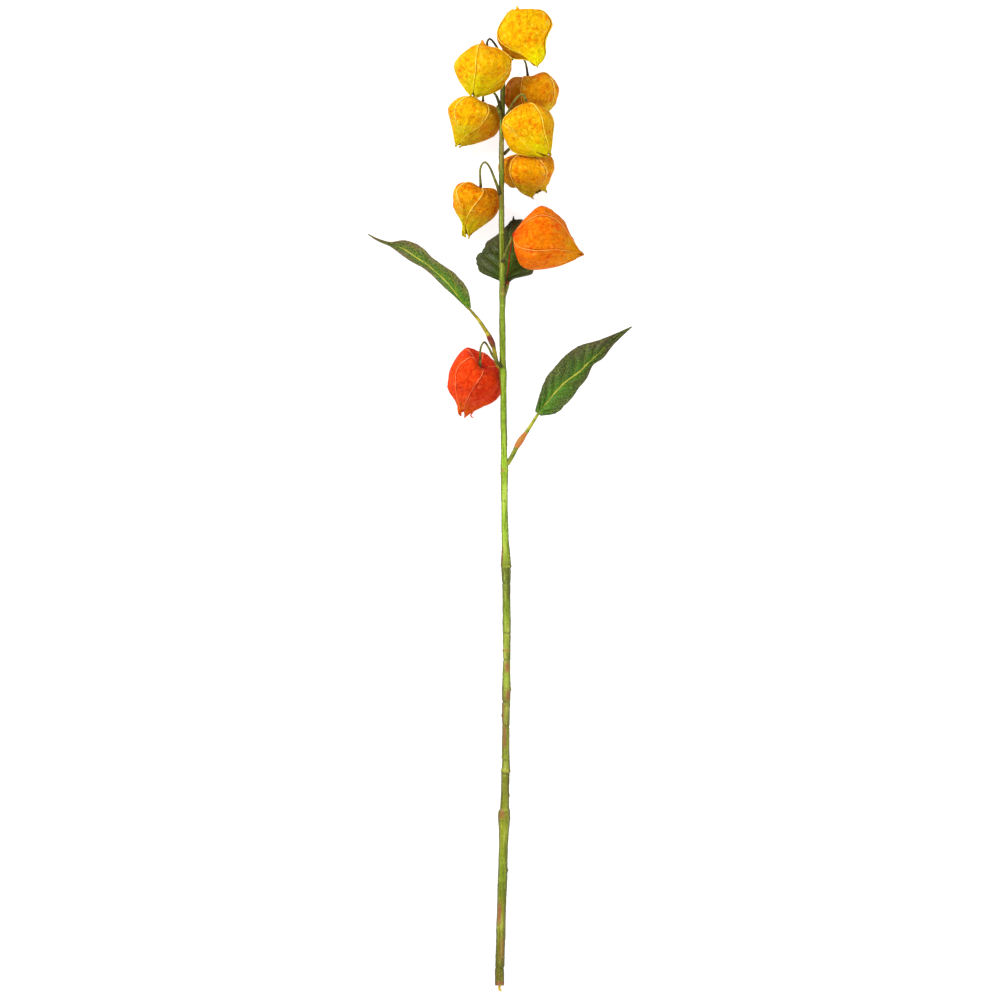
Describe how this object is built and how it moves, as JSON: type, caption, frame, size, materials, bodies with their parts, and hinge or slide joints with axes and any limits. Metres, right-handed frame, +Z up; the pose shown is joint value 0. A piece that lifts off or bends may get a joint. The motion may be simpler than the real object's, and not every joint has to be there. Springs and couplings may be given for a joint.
{
  "type": "physalis lantern stem",
  "caption": "Cut physalis stem lying down, with papery orange and gold lanterns on thin arched stalks and broad green leaves.",
  "frame": {"origin": "centre of the bounding box, on the surface that the stem lies on", "axes": "+Y along the stem from its cut end towards its tip, +Z up off the surface, +X to the right when seen from above with the tip away from the viewer"},
  "size_m": [0.2124, 0.7871, 0.0724],
  "materials": {
    "stem_skin": "satin olive green with fine rings",
    "stalk_skin": "satin olive yellow",
    "wire_metal": "cut wire end",
    "husk_gold": "papery, gold mottled with orange",
    "husk_orange": "papery, bright orange",
    "husk_red": "papery, red orange",
    "leaf_green": "matt green with grey purple margins",
    "leaf_dark": "matt dark grey green",
    "sleeve_orange": "satin orange brown swelling on a leaf stalk"
  },
  "bodies": {
    "root": {"main_stem": "stem_skin", "side_bud": "stalk_skin", "stem_wire": "wire_metal", "stalk_1": "stalk_skin", "stalk_2": "stalk_skin", "stalk_3": "stalk_skin", "stalk_4": "stalk_skin", "stalk_5": "stalk_skin", "stalk_6": "stalk_skin", "stalk_7": "stalk_skin", "stalk_8": "stalk_skin", "stalk_9": "stalk_skin", "lantern_1": "husk_gold", "lantern_2": "husk_gold", "lantern_3": "husk_gold", "lantern_4": "husk_gold", "lantern_5": "husk_gold", "lantern_6": "husk_gold", "lantern_7": "husk_orange", "lantern_8": "husk_orange", "lantern_9": "husk_red", "leaf_stalk_left": "stalk_skin", "leaf_stalk_right": "sleeve_orange", "leaf_stalk_behind": "stalk_skin", "leaf_left": "leaf_green", "leaf_right": "leaf_green", "leaf_behind": "leaf_dark"}
  },
  "joints": []
}
